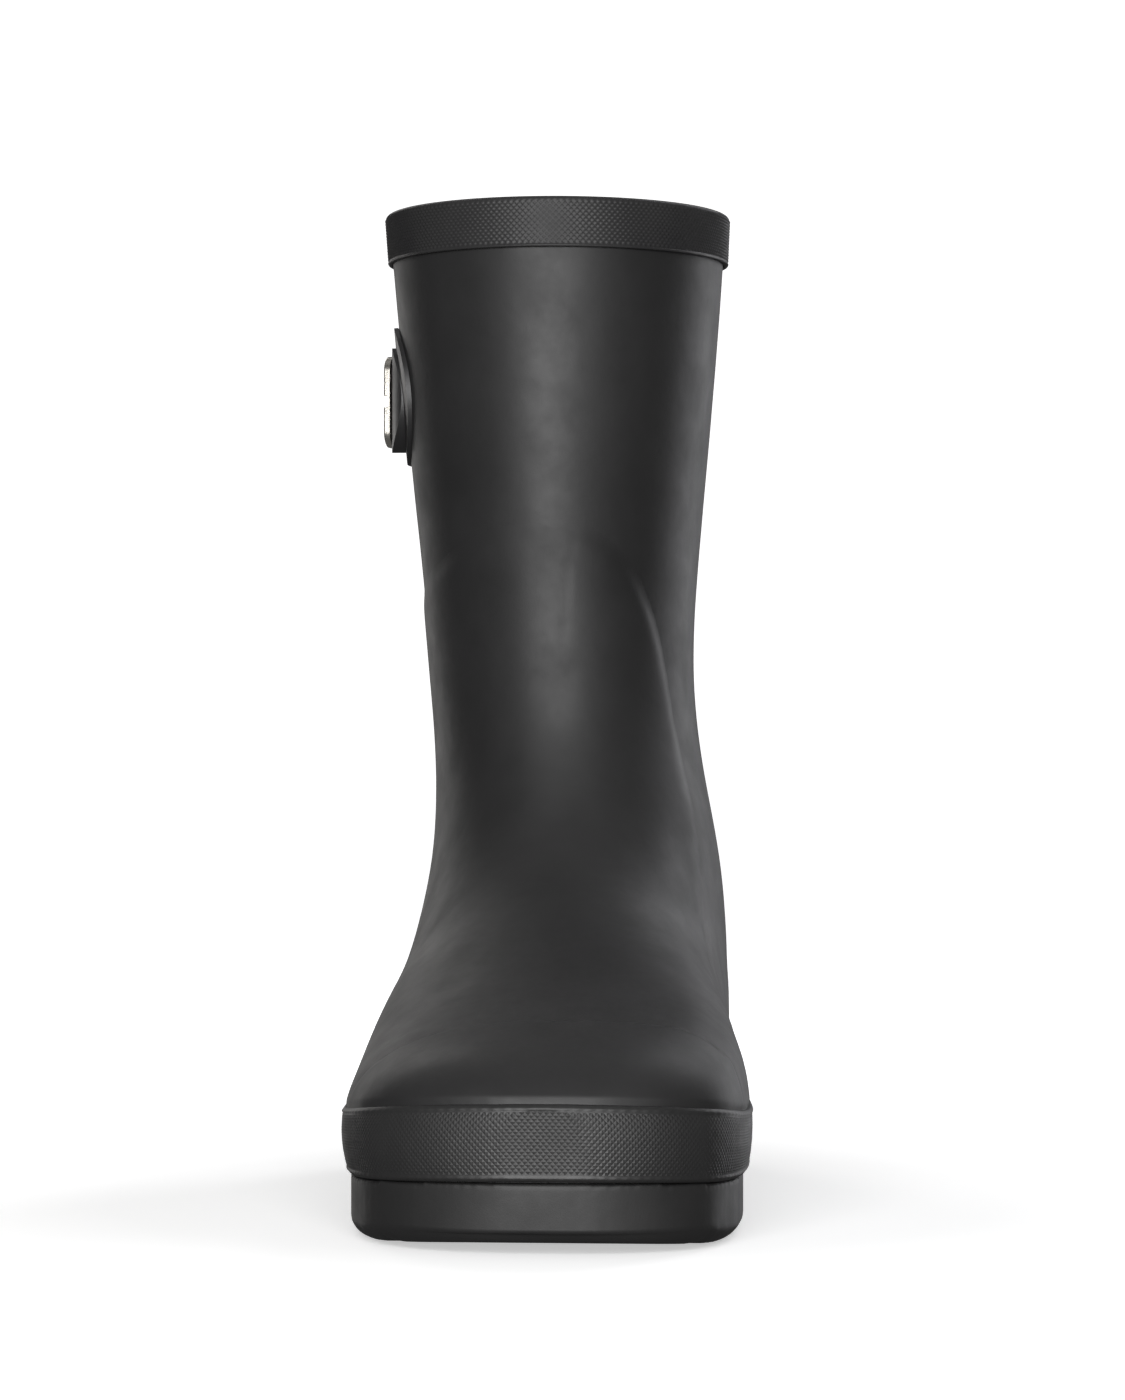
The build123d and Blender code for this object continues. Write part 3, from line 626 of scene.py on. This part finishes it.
PLAN_LOW, PLAN_HIGH = 12 * MM, 16 * MM  # The sole's outline is taken between these heights.
PLAN_HALF_LONG, PLAN_SLICE = 0.1, 1.5 * MM
TREAD_STEP = 3 * MM


def sole_outline(points):
    """A sole's plan outline: for each degree, the point furthest out from its long middle line."""
    level = points[(points[:, 2] > PLAN_LOW) & (points[:, 2] < PLAN_HIGH), :2]
    outline = []
    for turn in DEGREES:
        ahead = np.array([math.cos(turn), math.sin(turn)])
        middle = np.array([points[:, 0].mean(), math.sin(turn) * PLAN_HALF_LONG])
        away = level - middle
        close = np.abs(away[:, 0] * ahead[1] - away[:, 1] * ahead[0]) < PLAN_SLICE
        outline.append(middle + (away[close] @ ahead).max() * ahead)
    return smooth_loop(np.array(outline), 4)


def tread_level(points):
    """How high the tread's underside stands, as y values and the least z found near each."""
    steps = np.arange(points[:, 1].min(), points[:, 1].max(), TREAD_STEP)
    return steps, [points[np.abs(points[:, 1] - y) < TREAD_STEP, 2].min() for y in steps]


def roll_bottom_edge(piece, radius):
    """Rounds a sole's lower edge: points outside the edge's arc move onto it, square to the outline."""
    points = np.array([v.co for v in piece.data.vertices])
    low = points[:, 2] < radius
    moved = points[low]
    outline = sole_outline(points)
    along = np.roll(outline, -1, 0) - np.roll(outline, 1, 0)
    square = np.stack([-along[:, 1], along[:, 0]], 1) / np.linalg.norm(along, axis=1, keepdims=True)
    away = moved[:, None, :2] - outline[None, :, :]
    nearest = np.linalg.norm(away, axis=2).argmin(axis=1)
    inward = square[nearest]
    inset = np.maximum(0, np.sum(away[np.arange(len(nearest)), nearest] * inward, axis=1))
    height = moved[:, 2] - np.interp(moved[:, 1], *tread_level(points))
    from_middle = np.stack([radius - inset, radius - height], 1)
    reach = np.linalg.norm(from_middle, axis=1)
    outside = (reach > radius) & (inset < radius) & (height < radius)
    pull = 1 - np.where(outside, radius / np.maximum(reach, 1e-9), 1.0)
    moved[:, :2] += inward * (from_middle[:, 0] * pull)[:, None]
    moved[:, 2] += from_middle[:, 1] * pull
    points[low] = moved
    piece.data.vertices.foreach_set("co", points.ravel())
    piece.data.update()


outsole = moulded_copy("outsole_moulded", "outsole", voxel=1.0 * MM, passes=3, material=SOLE)
roll_bottom_edge(outsole, 6.0 * MM)


# ---------------------------------------------------------------- footbed

FLEX_Y = (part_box("footbed_front")[1][1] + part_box("footbed_rear")[0][1]) / 2
FLEX_Z = next(joint for joint in frame["joints"] if joint["name"] == "footbed_lift")["pos_m"][2]
FLEX_START, FLEX_END = (0, FLEX_Y - 14 * MM, FLEX_Z), (0, FLEX_Y + 14 * MM, FLEX_Z)
FLEX_GAP = 0.6 * MM
PAD_ROWS, PAD_COLUMNS = 121, 25
PAD_SHARE = 0.9985  # The outermost rows lie just inside the ends of the CAD pieces, where rays still hit.
END_EDGE = 0.2 * MM
FAR_UP, FAR_OUT = 0.3, 0.1


def sole_pad(name, nodes, thick, round_edge, material):
    """A soft sheet filling the plan of some CAD nodes: flat below, with its upper edge rolled over."""
    trees = [tree_of(node) for node in nodes]
    lows, highs = zip(*[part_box(node) for node in nodes])
    y_low, y_high = min(p[1] for p in lows), max(p[1] for p in highs)
    x_middle = (min(p[0] for p in lows) + max(p[0] for p in highs)) / 2
    half_long = (y_high - y_low) / 2

    def cast(start, run):
        hits = [tree.ray_cast(Vector(start), Vector(run), FAR_UP)[0] for tree in trees]
        hits = [hit for hit in hits if hit is not None]
        return min(hits, key=lambda hit: (hit - Vector(start)).length) if hits else None

    top, bottom = [], []
    for u in np.linspace(-math.pi / 2, math.pi / 2, PAD_ROWS):
        share = math.sin(u) * PAD_SHARE
        y = (y_low + y_high) / 2 + share * half_long
        if abs(y - FLEX_Y) < FLEX_GAP:
            y = FLEX_Y + FLEX_GAP
        down = cast((x_middle, y, FAR_UP), (0, 0, -1))
        level = down.z if down else level
        left = cast((-FAR_OUT, y, level - thick / 2), (1, 0, 0)).x
        right = cast((FAR_OUT, y, level - thick / 2), (-1, 0, 0)).x
        top.append([])
        bottom.append([])
        for v in np.linspace(-math.pi / 2, math.pi / 2, PAD_COLUMNS):
            x = (left + right) / 2 + math.sin(v) * (right - left) / 2
            edge = min(x - left, right - x, (1 - abs(share)) * half_long + END_EDGE)
            inside = max(0.0, round_edge - edge)
            roll_down = round_edge - math.sqrt(max(0.0, round_edge ** 2 - inside ** 2))
            top[-1].append((x, y, level - roll_down))
            bottom[-1].append((x, y, level - thick))
    keep = np.ones((PAD_ROWS - 1, PAD_COLUMNS - 1), bool)
    return closed_layer(name, soften(np.array(top), 2), np.array(bottom), keep, material, body=None)


# Each pad's stand-ins, thickness, edge radius, material and slot.
PADS = {"footbed_foam": (("footbed_front", "footbed_rear"), 5.0 * MM, 1.2 * MM, FOAM, "footbed_foam"),
        "footbed_cover": (("cover_front", "cover_rear"), 1.0 * MM, 0.8 * MM, CLOTH, "cover_cloth")}
for name, (nodes, thick, round_edge, material, slot) in PADS.items():
    pad = sole_pad(name, nodes, thick, round_edge, material)
    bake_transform(pad, "root", "footbed", start=FLEX_START, end=FLEX_END)
    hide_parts(*nodes)


# ---------------------------------------------------------------- edges of the carried-over fittings

# Bevel widths in mm.
BEVELS = {"strap": 0.35, "strap_keeper": 0.3, "buckle_chape": 0.25, "strap_patch": 0.3,
          "buckle_patch": 0.3, "buckle_frame": 0.25, "buckle_prong": 0.25, "buckle_bar": 0.1}
for node, width in BEVELS.items():
    bevel = frame["nodes"][node].modifiers.new("edges", "BEVEL")
    bevel.width = width * MM
    bevel.segments = 2
    bevel.limit_method = "ANGLE"
    bevel.angle_limit = math.radians(40)


# ---------------------------------------------------------------- camera, light and floor

def area_light(name, place, aim, size, power, colour=(1, 1, 1)):
    """A rectangular soft light facing a point."""
    data = bpy.data.lights.new(name, "AREA")
    data.shape = "RECTANGLE"
    data.size, data.size_y = size
    data.energy = power
    data.color = colour
    light = bpy.data.objects.new(name, data)
    light.location = place
    light.rotation_euler = (Vector(aim) - Vector(place)).to_track_quat("-Z", "Y").to_euler()
    bpy.context.scene.collection.objects.link(light)


AIM = (0, 0.05, 0.15)
area_light("key_front", (-0.03, -1.6, 0.36), AIM, (1.25, 1.1), 37)
area_light("rim_right", (0.62, 0.8, 0.5), AIM, (0.3, 1.6), 5, (0.97, 0.97, 1.0))
area_light("rim_left", (-0.55, 0.85, 0.5), AIM, (0.3, 1.6), 2.5, (1.0, 0.98, 0.96))
area_light("top", (0, -0.2, 1.7), (0, 0, 0), (1.2, 1.2), 1)

world = bpy.data.worlds.new("studio")
world.use_nodes = True
background = world.node_tree.nodes["Background"]
background.inputs["Color"].default_value = (1, 1, 1, 1)
background.inputs["Strength"].default_value = 0.11
bpy.context.scene.world = world

# The floor glows white away from the boot and less round it: a painted shadow round the boot, on top of the
# boot's real shadow there.
floor_material, floor_tree, floor_shader = new_material("floor")
floor_shader.inputs["Base Color"].default_value = (0.93, 0.93, 0.93, 1)
floor_shader.inputs["Roughness"].default_value = 0.9
floor_shader.inputs["Specular IOR Level"].default_value = 0.1
floor_shader.inputs["Emission Color"].default_value = (1, 1, 1, 1)
floor_coords = floor_tree.nodes.new("ShaderNodeTexCoord")
floor_reach = floor_tree.nodes.new("ShaderNodeVectorMath")
floor_reach.operation = "LENGTH"
glow = floor_tree.nodes.new("ShaderNodeMapRange")
for socket, value in (("From Min", 0.13), ("From Max", 0.45), ("To Min", 0.48), ("To Max", 1.0)):
    glow.inputs[socket].default_value = value
floor_tree.links.new(floor_coords.outputs["Object"], floor_reach.inputs["Vector"])
floor_tree.links.new(floor_reach.outputs["Value"], glow.inputs["Value"])
floor_tree.links.new(glow.outputs["Result"], floor_shader.inputs["Emission Strength"])

# A round floor that curves up into a wall, given as distances from the middle and heights.
SWEEP, SWEEP_TURNS, WALL_HIGH = 2.6, 48, 4.0
profile = [(0.05, 0.0), (0.5, 0.0), (SWEEP, 0.0)]
profile += [(SWEEP + math.sin(bend), 1 - math.cos(bend)) for bend in np.linspace(0.1, math.pi / 2, 12)]
profile += [(SWEEP + 1, WALL_HIGH)]
turns = np.linspace(0, 2 * math.pi, SWEEP_TURNS, endpoint=False)
points = [(reach * math.cos(turn), reach * math.sin(turn), z) for reach, z in profile for turn in turns]
faces = [tuple(range(SWEEP_TURNS))]
for i in range(len(profile) - 1):
    for j in range(SWEEP_TURNS):
        k = (j + 1) % SWEEP_TURNS
        faces.append(tuple(n * SWEEP_TURNS + m for n, m in ((i, j), (i + 1, j), (i + 1, k), (i, k))))
floor = piece_from("studio_sweep", points, faces, floor_material, body=None)
floor.visible_diffuse = False
floor.visible_glossy = False

# The camera stands level, half the boot's height up, and looks at the toe from slightly to the inner side.
VIEW_AZIMUTH, VIEW_DISTANCE, VIEW_HEIGHT = math.radians(4.0), 1.4, 0.145
LEG_AXIS = (-5.5 * MM, 75.6 * MM)
SIDE_SHIFT = 1.2 * MM
toward = Vector((math.sin(VIEW_AZIMUTH), -math.cos(VIEW_AZIMUTH), 0))
right = Vector((math.cos(VIEW_AZIMUTH), math.sin(VIEW_AZIMUTH), 0))
camera_data = bpy.data.cameras.new("camera")
camera_data.lens = 117.3
camera_data.sensor_width = 36.0
camera = bpy.data.objects.new("camera", camera_data)
camera.location = Vector((*LEG_AXIS, VIEW_HEIGHT)) + toward * VIEW_DISTANCE + right * SIDE_SHIFT
camera.rotation_euler = (math.pi / 2, 0, VIEW_AZIMUTH)
bpy.context.scene.collection.objects.link(camera)
bpy.context.scene.camera = camera
bpy.context.scene.view_settings.view_transform = "Standard"
